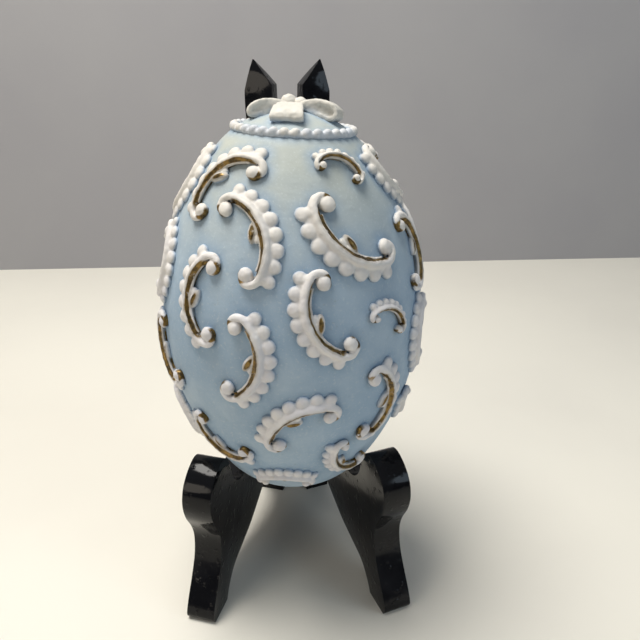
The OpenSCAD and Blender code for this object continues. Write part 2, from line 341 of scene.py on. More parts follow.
floor.data.materials.append(
    plain_surface("floor_paint", (0.78, 0.755, 0.675), (0.75, 0.725, 0.65)))
wall.data.materials.append(
    plain_surface("wall_paint", (0.345, 0.34, 0.35), (0.325, 0.32, 0.335)))
print("floor and wall painted")

# %% [markdown]
# ## Powder blue ground
#
# The egg is painted matt blue over a cast body. The blue is deeper beside the
# ornaments as painted shade, and painted warm light turns it a creamy green
# near the bow. Fine pale speckles, a few dirty ones and a soft, slightly uneven
# skin give it its chalky look. The attribute `beside`, which places the painted
# shade, is measured later, once the ornaments are in place.

# %% Egg paint
# The creamy tint of the upper part is painted warm light from above.
CREAM_HEIGHT = 0.138    # where the creamy tint of the upper part is at its fullest

def egg_paint():
    paint = Paint("powder_blue")
    cloud = paint.noise(52.0, 5.0, 0.6).ramp(0.3, 0.7)
    speckle = paint.noise(1500.0, 2.0, 0.6).ramp(0.56, 0.72)
    grain = paint.noise(620.0, 4.0, 0.6)
    patchy = paint.noise(60.0, 2.0).ramp(0.3, 0.7, 0.75, 1.0)
    # Painted warm light: the blue turns creamy green towards the top.
    cream = paint.height().ramp(0.098, CREAM_HEIGHT) * patchy
    beside = paint.attribute("beside")
    blue = paint.mix(cloud, (0.290, 0.400, 0.520), (0.385, 0.490, 0.590))
    blue = paint.mix(cream, blue, (0.430, 0.455, 0.405))
    # Painted shade: the blue deepens where the attribute beside says an ornament is near.
    blue = paint.mix(beside * cloud.ramp(0.0, 1.0, 0.85, 0.45), blue, (0.225, 0.335, 0.465))
    blue = paint.mix(speckle * 0.30, blue, (0.56, 0.61, 0.62))
    specks = paint.noise(820.0, 3.0, 0.7).ramp(0.62, 0.74)
    dirt = specks * paint.noise(70.0, 2.0).ramp(0.4, 0.65)
    blue = paint.mix(dirt * 0.4, blue, (0.240, 0.270, 0.270))
    skin = grain * 0.6 + paint.noise(140.0, 3.0) * 2.2
    return paint.shade(
        Base_Color=blue,
        Roughness=grain.ramp(0.3, 0.7, 0.62, 0.80),
        Normal=paint.bump(skin, 0.35, 0.0004))

powder_blue = egg_paint()
print("made", powder_blue.name)

# %% [markdown]
# ## White relief
#
# The ornaments, the beads and the bow are off-white. Blue paint ran round
# their feet, with painted shade deepening it there, so the attribute `lift`,
# the height above the egg, fades them from blue to white. Grime and painted
# shade darken the low places, and painted warm light makes the upper part of
# the egg creamier than the rest.

# %% Relief paint
def relief_colour(paint, cream_share):
    lift = paint.attribute("lift")
    patch = paint.noise(210.0, 3.0).ramp(0.35, 0.7)
    stain = paint.noise(520.0, 3.0, 0.6).ramp(0.5, 0.75)
    white = paint.mix(patch, (0.640, 0.630, 0.655), (0.720, 0.705, 0.700))
    white = paint.mix(stain * cream_share, white, (0.640, 0.570, 0.420))
    # Painted warm light: the relief is tinted cream towards the top of the egg.
    warm_lit_top = paint.height().ramp(0.085, CREAM_HEIGHT) * 0.65
    white = paint.mix(warm_lit_top, white, (0.680, 0.640, 0.550))
    # Grime and painted shade: the low places between the beads are darkened brown.
    grime_and_shade = lift.ramp(0.30, 0.80, 1.0, 0.0) * paint.noise(330.0, 3.0, 0.6).ramp(0.40, 0.62)
    white = paint.mix(grime_and_shade * 0.55, white, (0.270, 0.250, 0.215))
    # Blue paint at the feet, deepened by painted shade: the lowest relief fades to blue.
    return paint.mix(lift.ramp(0.02, 0.80), (0.300, 0.400, 0.520), white)

def relief_skin(paint):
    return paint.noise(900.0, 3.0, 0.6) * 0.5 + paint.noise(260.0, 2.0)

def relief_paint(name, cream_share, tint):
    paint = Paint(name)
    yellowed = paint.noise(150.0, 3.0).ramp(0.3, 0.65)
    colour = paint.mix(yellowed, relief_colour(paint, cream_share), tint)
    return paint.shade(
        Base_Color=colour,
        Roughness=paint.noise(500.0, 2.0).ramp(0.3, 0.7, 0.5, 0.72),
        Normal=paint.bump(relief_skin(paint), 0.3, 0.0003))

bead_white = relief_paint("bead_white", 0.15, (0.560, 0.590, 0.630))
bow_cream = relief_paint("bow_cream", 0.45, (0.600, 0.580, 0.520))
print("made", bead_white.name, "and", bow_cream.name)

# %% [markdown]
# ## Gilt lines
#
# Each scroll carries a thin antique-gold line in the hollow beside its ridge,
# a crescent round each curled end and a stroke in its leaf, with a brown shade
# beside them. The scroll keeps its flat drawing as a UV map, so the gilt is
# drawn there in millimetres: an arc, two crescents and an ellipse. Noise frays
# the edges and rubs it thin.

# %% The scroll's drawing, shared by its shape and its gilt
DRAWING = 27.0          # the UV map spans this many millimetres
ARC_X = 9.1             # centre of the scroll's arc
GILT_R = 12.15          # radius of the gilt line
RIDGE_R = 13.05         # radius of the ridge beside it
BEAD_R = 14.95          # radius on which the beads sit
BEADS = 8               # beads along the back
BEAD_SWEEP = 48.0       # half the angle that they span
SWEEP = 52.0            # half the angle of the arc
CURL = (3.4, 8.0)       # middle of the upper curled end
CURL_GILT_R = 1.90      # radius of the gilt crescent round it
LEAF = (-1.25, -0.3)    # middle of the leaf
LEAF_TURN = -24.0       # lean of the leaf
HOLLOW_REACH = 5.8      # from the drawing's middle to the curled ends' far side
HALF_LENGTH = 15.1 * math.sin(math.radians(BEAD_SWEEP)) + 1.55  # out to the last beads
print("scroll pattern:", round(2 * HALF_LENGTH, 1), "mm long")

# %% Gilt paint
def away(paint, x, y, centre):
    across, along = x - centre[0], y - centre[1]
    return (across * across + along * along).math("SQRT")

def gilt_mask(paint, with_leaf):
    drawing = paint.node("ShaderNodeUVMap", {"uv_map": "drawing"})
    u = paint.node("ShaderNodeSeparateXYZ", {}, [drawing], out="X")
    v = Ink(paint, u.socket.node.outputs["Y"])
    fray = paint.noise(700.0, 3.0) * 0.9 - 0.45
    x = u * DRAWING - DRAWING / 2 + fray * 0.5
    y = v * DRAWING - DRAWING / 2 + fray * 0.5
    side = abs(y)
    radius = away(paint, x, y, (ARC_X, 0.0))
    thick = paint.noise(160.0, 1.0).ramp(0.3, 0.7, 0.24, 0.55)
    beyond_line = abs(radius - GILT_R) - thick
    on_arc = side.ramp(8.9, 9.7, 1.0, 0.0) * (x < 3.2)
    line = beyond_line.ramp(-0.08, 0.12, 1.0, 0.0) * on_arc
    shade = beyond_line.ramp(0.05, 0.75, 1.0, 0.0) * on_arc
    ball = away(paint, x, side, CURL)
    crescent = (abs(ball - CURL_GILT_R) - 0.38).ramp(-0.1, 0.12, 1.0, 0.0)
    crescent = crescent * (x - CURL[0]).ramp(0.2, 1.2) * side.ramp(9.3, 9.9, 1.0, 0.0)
    mask = line.most(crescent * paint.noise(90.0, 1.0).ramp(0.34, 0.42))
    if with_leaf:
        turn = math.radians(LEAF_TURN)
        along = (x - LEAF[0]) * math.sin(-turn) + (y - LEAF[1]) * math.cos(turn)
        across = (x - LEAF[0]) * math.cos(turn) + (y - LEAF[1]) * math.sin(turn)
        stroke = (along * along / 3.2 + across * across / 0.34).math("SQRT")
        mask = mask.most(stroke.ramp(0.8, 1.15, 1.0, 0.0))
        shade = shade.most(stroke.ramp(1.1, 1.8, 1.0, 0.0))
    worn = paint.noise(420.0, 4.0, 0.7).ramp(0.3, 0.42)
    return mask * worn, shade * paint.noise(300.0, 2.0).ramp(0.3, 0.6, 0.15, 0.75)

def scroll_paint(name, with_leaf):
    paint = Paint(name)
    gilt, shade = gilt_mask(paint, with_leaf)
    relief = paint.mix(shade, relief_colour(paint, 0.22), (0.300, 0.270, 0.220))
    tarnish = paint.noise(650.0, 3.0, 0.6).ramp(0.35, 0.65)
    gold = paint.mix(tarnish, (0.260, 0.165, 0.050), (0.075, 0.052, 0.024))
    return paint.shade(
        Base_Color=paint.mix(gilt, relief, gold),
        Metallic=gilt * 0.75,
        Roughness=gilt.ramp(0.0, 1.0, 0.62, 0.36),
        Normal=paint.bump(relief_skin(paint), 0.3, 0.0003))

gilt_leafed = scroll_paint("gilded_white_leafed", True)
gilt_plain = scroll_paint("gilded_white_plain", False)
print("made", gilt_leafed.name, "and", gilt_plain.name)

# %% [markdown]
# ## Black lacquer and brass
#
# The boards are dipped in thick black lacquer: nearly black below, with a
# clear coat that runs in slow waves and holds tiny pimples of dust. The
# hinges are small stamped brass, dull, with darker places and fine scratches.

# %% Lacquer and brass
def lacquer_paint():
    paint = Paint("black_lacquer")
    waves = paint.noise(85.0, 2.0, 0.4)
    pimples = paint.noise(620.0, 1.0, 0.3).ramp(0.60, 0.80)
    wear = paint.noise(48.0, 4.0, 0.6).ramp(0.45, 0.75)
    return paint.shade(
        Base_Color=paint.mix(wear, (0.0045, 0.0045, 0.0055), (0.011, 0.011, 0.013)),
        Roughness=wear.ramp(0.0, 1.0, 0.10, 0.26),
        Specular_IOR_Level=0.16,
        Coat_Weight=0.10,
        Coat_Roughness=0.06,
        Normal=paint.bump(waves + pimples * 0.35, 0.5, 0.0006))

def brass_paint():
    paint = Paint("brass")
    spots = paint.noise(900.0, 4.0, 0.65).ramp(0.35, 0.8)
    drawn_out = paint.node(
        "ShaderNodeMapping", {}, {"Vector": paint.place(), "Scale": (1.0, 1.0, 0.06)})
    scratch = paint.noise(2600.0, 2.0, 0.6, drawn_out)
    return paint.shade(
        Base_Color=paint.mix(spots, (0.500, 0.350, 0.130), (0.380, 0.260, 0.105)),
        Metallic=1.0,
        Roughness=spots.ramp(0.0, 1.0, 0.30, 0.46),
        Normal=paint.bump(scratch, 0.15, 0.0001))

lacquer = lacquer_paint()
brass = brass_paint()
print("made", lacquer.name, "and", brass.name)

# %% [markdown]
# ## The egg's outline
#
# The egg is turned from four arcs that run into each other: a round lower
# end, two long side arcs that meet at the widest place, and a rounder top.
# Its sizes repeat those of the solid model, and its place comes from the
# frame: the egg leans back two degrees, and its top gives the height.

# %% Arcs of the egg
EGG_H, EGG_R = 106.5 * MM, 35.1 * MM
WIDE = 0.502 * EGG_H                    # height of the widest place
LOW_R, TOP_R = 26.5 * MM, 25 * MM       # radii of the two round ends
VENT_R, WALL = 1.5 * MM, 3 * MM
LEAN = math.radians(2)

def side_radius(reach, cap):
    return (EGG_R ** 2 - cap ** 2 + (reach - cap) ** 2) / (2 * (EGG_R - cap))

LOW_SIDE, TOP_SIDE = side_radius(WIDE, LOW_R), side_radius(EGG_H - WIDE, TOP_R)
LOW_TURN = math.atan2(WIDE - LOW_R, LOW_SIDE - EGG_R)
TOP_TURN = math.atan2(EGG_H - WIDE - TOP_R, TOP_SIDE - EGG_R)
print("side arcs of", round(LOW_SIDE / MM, 1), "and", round(TOP_SIDE / MM, 1), "mm")

# %% From the egg's own axes to the frame
low_corner, high_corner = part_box("egg_shell")
egg_middle = Vector((
    (low_corner.x + high_corner.x) / 2, (low_corner.y + high_corner.y) / 2,
    high_corner.z - TOP_R - (EGG_H - WIDE - TOP_R) * math.cos(LEAN)))
egg_frame = (Matrix.Translation(egg_middle) @ Matrix.Rotation(-LEAN, 4, "X")
             @ Matrix.Translation((0, 0, -WIDE)))
turn_to_frame = np.array(egg_frame.to_3x3())
shift_to_frame = np.array(egg_frame.translation)

def into_frame(points):
    return points @ turn_to_frame.T + shift_to_frame

def into_egg(points):
    return (points - shift_to_frame) @ turn_to_frame

print("egg's middle at", [round(v / MM, 2) for v in egg_middle])

# %% Height above the egg, and the place on it at an angle and height
def height_above_egg(points):
    out, up = np.hypot(points[:, 0], points[:, 1]), points[:, 2]
    low_x, top_x = out - EGG_R + LOW_SIDE, out - EGG_R + TOP_SIDE
    above = up - WIDE
    low_cap = np.hypot(out, up - LOW_R) - LOW_R
    low_side = np.hypot(low_x, above) - LOW_SIDE
    top_side = np.hypot(top_x, above) - TOP_SIDE
    top_cap = np.hypot(out, up - EGG_H + TOP_R) - TOP_R
    low = np.where(np.arctan2(-above, low_x) > LOW_TURN, low_cap, low_side)
    top = np.where(np.arctan2(above, top_x) > TOP_TURN, top_cap, top_side)
    return np.where(above < 0, low, top)

def outline_point(lean):
    if lean < -LOW_TURN:
        x, z, r = 0, LOW_R, LOW_R
    elif lean < 0:
        x, z, r = EGG_R - LOW_SIDE, WIDE, LOW_SIDE
    elif lean < TOP_TURN:
        x, z, r = EGG_R - TOP_SIDE, WIDE, TOP_SIDE
    else:
        x, z, r = 0, EGG_H - TOP_R, TOP_R
    return Vector((x + r * math.cos(lean), 0, z + r * math.sin(lean)))

def lean_at(height):
    low, high = -math.pi / 2, math.pi / 2
    for _ in range(50):
        middle = (low + high) / 2
        low, high = (middle, high) if outline_point(middle).z < height else (low, middle)
    return low

def seat(angle, height):
    lean, turn = lean_at(height), math.radians(angle)
    around = Vector((math.sin(turn), -math.cos(turn), 0))
    spot = outline_point(lean)
    place = around * spot.x + Vector((0, 0, spot.z))
    outward = around * math.cos(lean) + Vector((0, 0, math.sin(lean)))
    right = Vector((math.cos(turn), math.sin(turn), 0))
    return tuple(np.array(v) for v in (place, right, outward.cross(right), outward))

print("egg is", round(2 * outline_point(0).x / MM, 1), "mm wide")

# %% [markdown]
# ## Turning the egg
#
# A potter would turn this shape on a wheel, and Spin does the same. One point
# is extruded step by step along the outline, from the rim of the vent hole in
# the bottom up to the top, and the line is spun once round. The seam is
# merged before Solidify gives the shell its wall, so it stays hollow.

# %% Extrude the outline and spin it
def thread(name, points):
    bpy.ops.mesh.primitive_plane_add(size=0.001, location=(0, 0, 0))
    piece = named(name)
    edit(piece)
    bpy.ops.mesh.merge(type="CENTER")
    bpy.ops.transform.translate(value=points[0])
    for before, after in zip(points, points[1:]):
        bpy.ops.mesh.extrude_region_move(TRANSFORM_OT_translate={"value": after - before})
    return piece

OUTLINE_STEPS, SPIN_STEPS = 96, 176
vent_lean = -math.acos(VENT_R / LOW_R)
leans = [vent_lean + (math.pi / 2 - vent_lean) * step / OUTLINE_STEPS
         for step in range(OUTLINE_STEPS + 1)]
none_selected()
egg = thread("egg", [outline_point(lean) for lean in leans])
bpy.ops.mesh.select_all(action="SELECT")
bpy.ops.mesh.spin(steps=SPIN_STEPS, angle=2 * math.pi, center=(0, 0, 0), axis=(0, 0, 1))
outwards(egg)
apply_modifier(egg, "SOLIDIFY", thickness=WALL, offset=-1)
egg.data.transform(egg_frame)
smooth(egg, sharp_from=40)
finish_piece(egg, "egg", powder_blue, "egg_shell")
print("egg:", len(egg.data.polygons), "faces")

# %% [markdown]
# ## Nothing cast by hand is even
#
# A Displace modifier with a cloud texture pushes each piece in and out by a
# tenth or two of a millimetre. The clouds lie in space, so no two casts are
# alike.

# %% Uneven surface
clouds = bpy.data.textures.new("cast_unevenness", "CLOUDS")
clouds.noise_scale = 1.7 * MM
clouds.noise_depth = 1

def hand_made(piece, amount):
    apply_modifier(piece, "DISPLACE", texture=clouds, texture_coords="LOCAL",
                   strength=amount, mid_level=0.5, direction="NORMAL")

print("unevenness every", round(clouds.noise_scale / MM, 1), "mm")

# %% [markdown]
# ## One flat scroll
#
# All the scrolls are casts of one pattern. It is modelled once, lying flat: a
# low band under everything, a rounded ridge that curls in at both ends, a
# thin rim, eight beads along the back, two balls in the curls and a leaf,
# which the smallest scrolls lack. A voxel remesh then melts the parts
# together, as a mould does, and a light smoothing leaves the soft edges of
# plaster.

# %% Parts of the scroll
def polar(radius, angle):
    turn = math.radians(180 - angle)
    return Vector((ARC_X + radius * math.cos(turn), radius * math.sin(turn), 0)) * MM

def roll(name, points, heights, radii):
    curve = bpy.data.curves.new(name, "CURVE")
    curve.dimensions = "3D"
    curve.bevel_depth = MM
    curve.bevel_resolution = 4
    curve.use_fill_caps = True
    line = curve.splines.new("POLY")
    line.points.add(len(points) - 1)
    for spot, place, height, radius in zip(line.points, points, heights, radii):
        spot.co = (place.x, place.y, height * MM, 1)
        spot.radius = radius
    piece = bpy.data.objects.new(name, curve)
    bpy.context.scene.collection.objects.link(piece)
    only(piece)
    bpy.ops.object.convert(target="MESH")
    return bpy.context.object

def melt(piece, grain, rounds):
    apply_modifier(piece, "REMESH", mode="VOXEL", voxel_size=grain, adaptivity=0)
    apply_modifier(piece, "SMOOTH", factor=0.5, iterations=rounds)

def lump(name, place, size, turn=0.0):
    bpy.ops.mesh.primitive_uv_sphere_add(segments=24, ring_count=14, radius=MM, location=place)
    piece = named(name)
    piece.scale = size
    piece.rotation_euler = (0, 0, math.radians(turn))
    return settle(piece)

def scroll_band(name):
    profile = [(11.75, -0.8), (11.75, 0.55), (12.2, 0.75),
               (14.3, 1.05), (15.2, 0.65), (15.2, -0.8)]
    band = thread(name, [polar(r, -SWEEP) + Vector((0, 0, z * MM)) for r, z in profile])
    bpy.ops.mesh.select_all(action="SELECT")
    bpy.ops.mesh.spin(
        steps=44, angle=math.radians(2 * SWEEP), center=(ARC_X * MM, 0, 0), axis=(0, 0, 1))
    outwards(band)
    edit(band)
    bpy.ops.mesh.select_all(action="DESELECT")
    bpy.ops.mesh.select_non_manifold()
    bpy.ops.mesh.edge_face_add()
    bpy.ops.mesh.select_all(action="SELECT")
    bpy.ops.mesh.normals_make_consistent(inside=False)
    object_mode()
    return band

# %% The ridge with its two curls
RIM_R, RIM_SWEEP, RIM_STEPS = 11.72, 44, 30
CURL_TURN = 125         # how far each end of the ridge curls round
CURL_STEPS = 22
CURL_SHRINK = 0.62      # the share of its radius that a curl loses on the way

def arc_line(radius, sweep, steps):
    return [polar(radius, -sweep + 2 * sweep * step / steps) for step in range(steps + 1)]

def ridge_line():
    arc = arc_line(RIDGE_R, SWEEP, 40)
    middle = Vector((*CURL, 0)) * MM
    start = arc[-1] - middle
    curl = []
    for step in range(1, CURL_STEPS + 1):
        share = step / CURL_STEPS
        turn = Matrix.Rotation(-math.radians(CURL_TURN) * share, 3, "Z")
        curl.append(middle + (turn @ start) * (1 - CURL_SHRINK * share))
    flipped = [Vector((p.x, -p.y, 0)) for p in reversed(curl)]
    return flipped + arc + curl

def taper(count, ends, thin, thick):
    values = []
    for step in range(count):
        from_end = min(step, count - 1 - step)
        share = min(1.0, from_end / (ends * 1.35))
        values.append(thin + (thick - thin) * share)
    return values

ridge_points = ridge_line()
rim_points = arc_line(RIM_R, RIM_SWEEP, RIM_STEPS)
print("ridge of", len(ridge_points), "points, rim of", len(rim_points))

# %% Put the pattern together and melt it
RELIEF = 2.2 * MM       # the most that an ornament stands above the egg
SOLE = -0.4 * MM        # the pattern is cut off flat at this height

def ridge_and_rim(name):
    ridge, rim = len(ridge_points), len(rim_points)
    return [
        roll(name + "_ridge", ridge_points, taper(ridge, CURL_STEPS, 0.75, 1.15),
             taper(ridge, CURL_STEPS, 0.62, 1.04)),
        roll(name + "_rim", rim_points, [0.95] * rim, taper(rim, 8, 0.28, 0.42))]

def beads_along_back(name):
    beads = []
    for step in range(BEADS):
        angle = -BEAD_SWEEP + 2 * BEAD_SWEEP * step / (BEADS - 1)
        share = 1 - 0.16 * abs(angle / BEAD_SWEEP) ** 2
        beads.append(lump(name + "_bead", polar(BEAD_R, angle) + Vector((0, 0, 0.35 * MM)),
                          (1.95 * share, 1.93 * share, 1.08 * share), 180 - angle))
    return beads

def curled_end(name, side):
    ball = Vector((CURL[0], side * CURL[1], 0.55)) * MM
    knuckle = Vector((0.0, side * 10.3, 0.4)) * MM
    return [lump(name + "_ball", ball, (1.80, 1.90, 1.50)),
            lump(name + "_knuckle", knuckle, (1.45, 1.3, 1.15))]

def leaf_and_stalk(name):
    leaf, stalk = Vector((*LEAF, 0.35)) * MM, Vector((-2.0, 1.3, 0.4)) * MM
    return [lump(name + "_leaf", leaf, (1.15, 2.6, 1.15), LEAF_TURN),
            lump(name + "_stalk", stalk, (0.7, 1.3, 0.8), LEAF_TURN - 8)]

def flat_scroll(name, with_leaf):
    parts = [scroll_band(name + "_band"), *ridge_and_rim(name), *beads_along_back(name),
             *curled_end(name, -1), *curled_end(name, 1)]
    if with_leaf:
        parts += leaf_and_stalk(name)
    pattern = join(parts, name)
    melt(pattern, 0.21 * MM, rounds=2)
    edit(pattern)
    bpy.ops.mesh.bisect(
        plane_co=(0, 0, SOLE), plane_no=(0, 0, 1), clear_inner=True, use_fill=True)
    object_mode()
    points = points_of(pattern)
    points[:, 2] = np.minimum(points[:, 2], RELIEF)
    move_points(pattern, points)
    return pattern

none_selected()
leafed_pattern = flat_scroll("scroll_pattern", True)
plain_pattern = flat_scroll("small_scroll_pattern", False)
print("pattern:", len(leafed_pattern.data.polygons), "faces")

# %% The drawing and the lift go with the pattern
FULL_LIFT = 1.4         # millimetres above the egg from which the paint is all white

def keep_drawing(pattern):
    points = points_of(pattern) / MM
    drawing = pattern.data.uv_layers.new(name="drawing")
    corners = np.empty(len(pattern.data.loops), dtype=int)
    pattern.data.loops.foreach_get("vertex_index", corners)
    flat = points[corners][:, :2] / DRAWING + 0.5
    drawing.data.foreach_set("uv", flat.ravel())
    lift = pattern.data.attributes.new("lift", "FLOAT", "POINT")
    lift.data.foreach_set("value", np.clip(points[:, 2] / FULL_LIFT, 0, 1))

for pattern in (leafed_pattern, plain_pattern):
    keep_drawing(pattern)
print("UV map:", leafed_pattern.data.uv_layers[0].name)

# %% [markdown]
# ## Laying the scrolls on the egg
#
# Each scroll of the frame is a plain raised outline. Its own mesh says where
# the cast goes: the faces that lie on the egg give its middle and the way
# that its hollow side looks, and its extent gives the size. The flat pattern
# is then pressed on: each point goes down along the scroll's own normal until
# it stands as high above the round egg as it stood above the flat board.

# %% Read a scroll's place from the frame
PLACE_ROUNDS = 8        # each round seats the scroll nearer to its true place

def underside(node):
    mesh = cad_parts[node].data
    mesh.calc_loop_triangles()
    corners = np.empty(len(mesh.loop_triangles) * 3, dtype=int)
    mesh.loop_triangles.foreach_get("vertices", corners)
    points = into_egg(points_of(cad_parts[node]))
    triangles = points[corners.reshape(-1, 3)]
    near = np.abs(height_above_egg(triangles.mean(1))) < 0.3 * MM
    return points, triangles[near]

def drawn_on(points, spot):
    place, right, up, _ = spot
    return np.stack([(points - place) @ right, (points - place) @ up], axis=-1)

def hollow_side(triangles):
    a, b = triangles[:, 1] - triangles[:, 0], triangles[:, 2] - triangles[:, 0]
    area = np.abs(a[:, 0] * b[:, 1] - a[:, 1] * b[:, 0])
    middle = (triangles.mean(1) * area[:, None]).sum(0) / area.sum()
    edges = np.concatenate([(triangles[:, i] + triangles[:, (i + 1) % 3]) / 2 for i in range(3)])
    weight = np.tile(area, 3)
    offset = edges - middle
    _, axes = np.linalg.eigh((offset.T * weight) @ offset)
    hollow = axes[:, 0]
    ends = ((offset @ hollow) * (offset @ axes[:, 1]) ** 2 * weight).sum()
    return -hollow if ends < 0 else hollow

def angle_round_egg(point):
    return math.degrees(math.atan2(point[0], -point[1]))

def scroll_place(node):
    points, triangles = underside(node)
    middle = triangles.mean((0, 1))
    angle, height = angle_round_egg(middle), middle[2]
    for _ in range(PLACE_ROUNDS):
        spot = seat(angle, height)
        hollow = hollow_side(drawn_on(triangles, spot))
        length = np.array([-hollow[1], hollow[0]])
        flat = drawn_on(points, spot)
        along, across = flat @ length, flat @ hollow
        size = np.ptp(along) / (2 * HALF_LENGTH * MM)
        shift = (hollow * (across.max() - HOLLOW_REACH * MM * size)
                 + length * (along.max() + along.min()) / 2)
        place = spot[0] + spot[1] * shift[0] + spot[2] * shift[1]
        angle = angle_round_egg(place)
        height = place[2] - height_above_egg(place[None])[0] * spot[3][2]
    return seat(angle, height), hollow, size

scroll_places = {node: scroll_place(node) for node in sorted(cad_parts) if "_scroll_" in node}
sizes = [size for _, _, size in scroll_places.values()]
print(len(sizes), "scrolls, from", round(min(sizes), 2), "to", round(max(sizes), 2), "of full size")

# %% Press a copy on to the egg
SMALL = 0.66            # smaller scrolls than this have no leaf
PRESS_ROUNDS = 14

def pressed(pattern, node):
    (place, right, up, outward), hollow, size = scroll_places[node]
    copy = bpy.data.objects.new(node + "_cast", pattern.data.copy())
    bpy.context.scene.collection.objects.link(copy)
    flat = points_of(copy)
    x, y, z = flat[:, 0] * size, flat[:, 1] * size, flat[:, 2]
    across = x * hollow[0] - y * hollow[1]
    along = x * hollow[1] + y * hollow[0]
    foot = place + np.outer(across, right) + np.outer(along, up)
    depth = np.zeros(len(flat))
    for _ in range(PRESS_ROUNDS):
        depth += z - height_above_egg(foot + np.outer(depth, outward))
    points = foot + np.outer(depth, outward)
    move_points(copy, into_frame(points))
    copy.data.name = copy.name
    return copy, points

on_egg_points = []
for node, (_, _, size) in scroll_places.items():
    small = size < SMALL
    cast, points = pressed(plain_pattern if small else leafed_pattern, node)
    hand_made(cast, 0.26 * MM)
    smooth(cast)
    finish_piece(cast, "egg", gilt_plain if small else gilt_leafed, node)
    on_egg_points.append(points[::6])
for pattern in (leafed_pattern, plain_pattern):
    bpy.data.objects.remove(pattern)
print(len(scroll_places), "scrolls laid on the egg")

# %% [markdown]
# ## String of beads
#
# The beads lean like the strands of a rope. Each bead is drawn out a little,
# leaned over and seated on the egg, a thin cord runs behind them, and the
# string is melted together like the scrolls. It lies as far below the top as
# in the solid model, and the egg's outline there gives its radius.

# %% The crown leans to the right about the middle of the egg's round top
CROWN_LEAN = math.radians(3)
cap_middle = Matrix.Translation((0, 0, EGG_H - TOP_R))
crown_turn = cap_middle @ Matrix.Rotation(CROWN_LEAN, 4, "Y") @ cap_middle.inverted()
print("crown shifted by", round(TOP_R * math.sin(CROWN_LEAN) / MM, 2), "mm")

# %% Beads and cord
RING_H = EGG_H - 4.8 * MM
RING_BEADS, RING_BEAD_R, RING_CORD_R = 36, 1.3 * MM, 0.8 * MM
BEAD_LEAN = math.radians(28)
ring_r = outline_point(lean_at(RING_H)).x

def leaning_bead(angle):
    bpy.ops.mesh.primitive_uv_sphere_add(
        segments=20, ring_count=12, radius=RING_BEAD_R, location=(0, 0, 0))
    bead = named("bead")
    edit(bead)
    bpy.ops.transform.resize(value=(1.06, 0.92, 1.04))
    object_mode()
    place, right, up, outward = seat(angle, RING_H)
    turn = Matrix((right, up, outward)).transposed()
    middle = Vector(place) + Vector(outward) * 0.35 * MM
    leaned = turn @ Matrix.Rotation(BEAD_LEAN, 3, "Z")
    bead.data.transform(Matrix.Translation(middle) @ leaned.to_4x4())
    return bead

def bead_string():
    parts = [leaning_bead(step * 360 / RING_BEADS) for step in range(RING_BEADS)]
    bpy.ops.mesh.primitive_torus_add(
        major_segments=96, minor_segments=10, major_radius=ring_r + RING_CORD_R / 2,
        minor_radius=RING_CORD_R, location=(0, 0, RING_H))
    parts.append(settle(named("cord")))
    return join(parts, "bead_string")

none_selected()
beads = bead_string()
melt(beads, 0.22 * MM, rounds=2)
print("bead string:", len(beads.data.polygons), "faces")

# %% Lift of anything that sits on the egg
def keep_lift(piece, full):
    lift = piece.data.attributes.new("lift", "FLOAT", "POINT")
    heights = height_above_egg(points_of(piece)) / full
    lift.data.foreach_set("value", np.clip(heights, 0, 1))

hand_made(beads, 0.2 * MM)
beads.data.transform(crown_turn)
keep_lift(beads, 1.5 * MM)
on_egg_points.append(points_of(beads)[::3])
beads.data.transform(egg_frame)
smooth(beads)
finish_piece(beads, "egg", bead_white, "bead_ring")
print("beads laid", round(ring_r / MM, 1), "mm from the egg's axis")

# %% [markdown]
# ## Ribbon bow
#
# The bow is a ribbon folded into four puffy loops round a knot, cast in one
# with the egg, so each loop lies on the dome and its hollow has a floor. A
# loop is a strip that runs out, round and back, extruded point by point and
# widened towards its end. Strip and floor get their thickness from Solidify
# and are melted together, which rounds the ribbon's edges.

# %% The line that a loop follows over the dome
LOOP_START, LOOP_REACH = 1.8, 10.8  # from the knot's middle to a loop's two ends, in mm

def over_dome(reach, height):
    turn = reach * MM / TOP_R
    radius = TOP_R + height * MM
    return Vector((radius * math.sin(turn), 0, radius * math.cos(turn) - TOP_R))

def loop_line(fat, steps=18):
    line = []
    for step in range(steps):
        turn = 2 * math.pi * (step + 0.5) / steps
        reach = (1 - math.cos(turn)) / 2
        swell = -math.sin(turn) * (0.30 + 0.70 * reach ** 0.6)
        line.append(over_dome(LOOP_START + (LOOP_REACH - LOOP_START) * reach ** 0.85,
                              0.1 + fat * (0.28 + 0.20 * reach) + fat / 2 * swell))
    return line

print("a loop ends", round(over_dome(LOOP_REACH, 0).x / MM, 1), "mm out from the knot")

# %% One loop of ribbon, with the floor that closes its hollow
RIBBON_THICK = 1.3      # millimetres, like the rest of the ribbon's sizes
RIBBON_DROOP = 2.2      # how far the ribbon's edges hang down at the round end

def ribbon_strip(name, line, narrow, wide):
    strip = thread(name, [*line, line[0]])
    bpy.ops.mesh.select_all(action="SELECT")
    bpy.ops.transform.translate(value=(0, -0.5 * MM, 0))
    bpy.ops.mesh.extrude_region_move(TRANSFORM_OT_translate={"value": (0, MM, 0)})
    object_mode()
    points = points_of(strip)
    share = np.clip(points[:, 0] / MM / LOOP_REACH, 0, 1)
    points[:, 1] *= narrow + (wide - narrow) * share ** 0.8
    points[:, 2] -= (points[:, 1] / MM / wide) ** 2 * RIBBON_DROOP * MM * share
    move_points(strip, points)
    outwards(strip)
    apply_modifier(strip, "SOLIDIFY", thickness=RIBBON_THICK * MM, offset=0)
    return strip

def loop_floor(name, line, shift, thick):
    closing = thread(name, [*line, line[0]])
    bpy.ops.mesh.select_all(action="SELECT")
    bpy.ops.mesh.remove_doubles(threshold=0.01 * MM)
    bpy.ops.mesh.edge_face_add()
    bpy.ops.transform.translate(value=(0, shift * MM, 0))
    object_mode()
    apply_modifier(closing, "SOLIDIFY", thickness=thick * MM, offset=0)
    return closing

